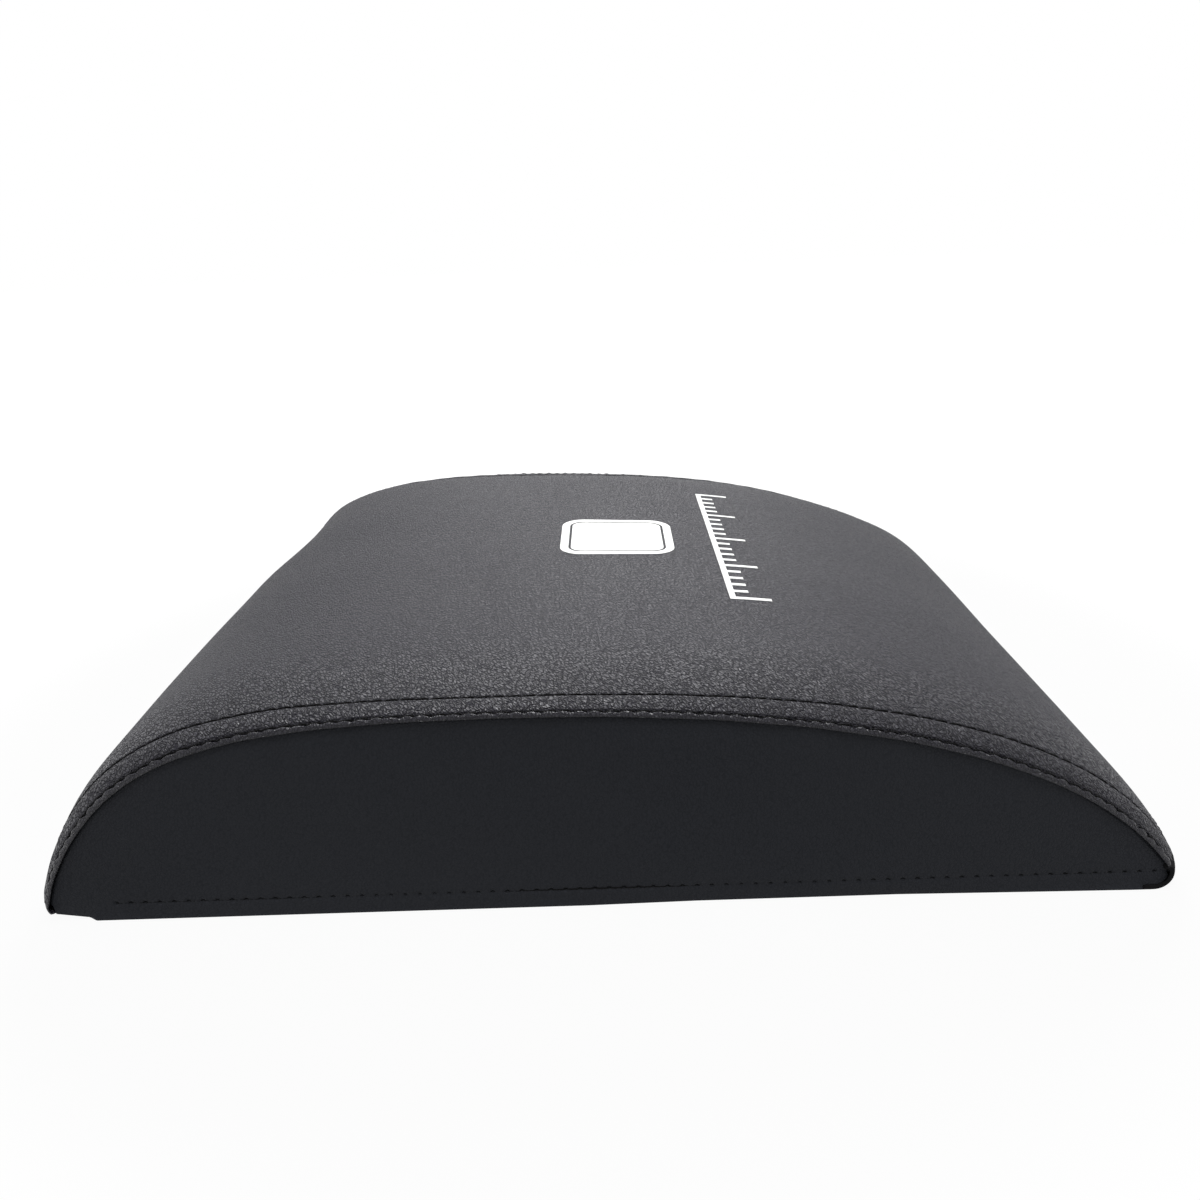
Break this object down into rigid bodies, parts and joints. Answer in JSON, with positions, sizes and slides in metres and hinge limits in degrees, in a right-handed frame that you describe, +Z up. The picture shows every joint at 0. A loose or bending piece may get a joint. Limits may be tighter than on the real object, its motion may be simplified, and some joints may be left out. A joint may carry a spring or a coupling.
{
  "type": "ab mat",
  "caption": "Arched sit-up cushion, steep at one end and thin at the other, in a sewn artificial leather cover with a zip underneath.",
  "frame": {"origin": "bottom centre of the mat's box, on the surface that it rests on", "axes": "+X from the tall end to the thin end, +Y from the front side panel to the rear one, +Z up"},
  "size_m": [0.3782, 0.296, 0.073],
  "materials": {
    "cover_leather": "grained artificial leather, satin",
    "side_leather": "grained artificial leather, satin",
    "base_sheet": "matt non-slip sheet",
    "foam": "moulded foam, open skin",
    "thread": "twisted polyester thread",
    "zip_tape": "woven polyester tape",
    "zip_plastic": "moulded plastic",
    "zip_metal": "black enamelled zinc",
    "white_print": "screen printed ink"
  },
  "bodies": {
    "mat": {"top_panel": "cover_leather", "side_panel_front": "side_leather", "side_panel_rear": "side_leather", "base_panel": "base_sheet", "foam_core": "foam", "topstitch_front_edge": "thread", "topstitch_front_inner": "thread", "topstitch_rear_edge": "thread", "topstitch_rear_inner": "thread", "stitch_thin_end": "thread", "base_stitch_front": "thread", "base_stitch_rear": "thread", "zip_stitch_outer": "thread", "zip_stitch_inner": "thread", "zip_tape_outer": "zip_tape", "zip_tape_inner": "zip_tape", "zip_teeth_outer": "zip_plastic", "zip_teeth_inner": "zip_plastic", "zip_top_stop_outer": "zip_plastic", "zip_top_stop_inner": "zip_plastic", "zip_bottom_stop": "zip_plastic", "print_patch": "white_print", "print_scale": "white_print"},
    "slider": {"zip_slider": "zip_metal"},
    "pull_tab": {"zip_pull_tab": "zip_metal"}
  },
  "joints": [
    {"name": "zip_slide", "type": "slide", "parent": "mat", "child": "slider", "axis": [0, -1, 0], "range_m": [0, 0.2609], "deforming": ["zip_teeth_outer", "zip_teeth_inner"]},
    {"name": "pull_tab_turn", "type": "hinge", "parent": "slider", "child": "pull_tab", "pos_m": [-0.16988, 0.13045, 0.00267], "axis": [1, 0, 0], "range_deg": [0, 180]}
  ]
}
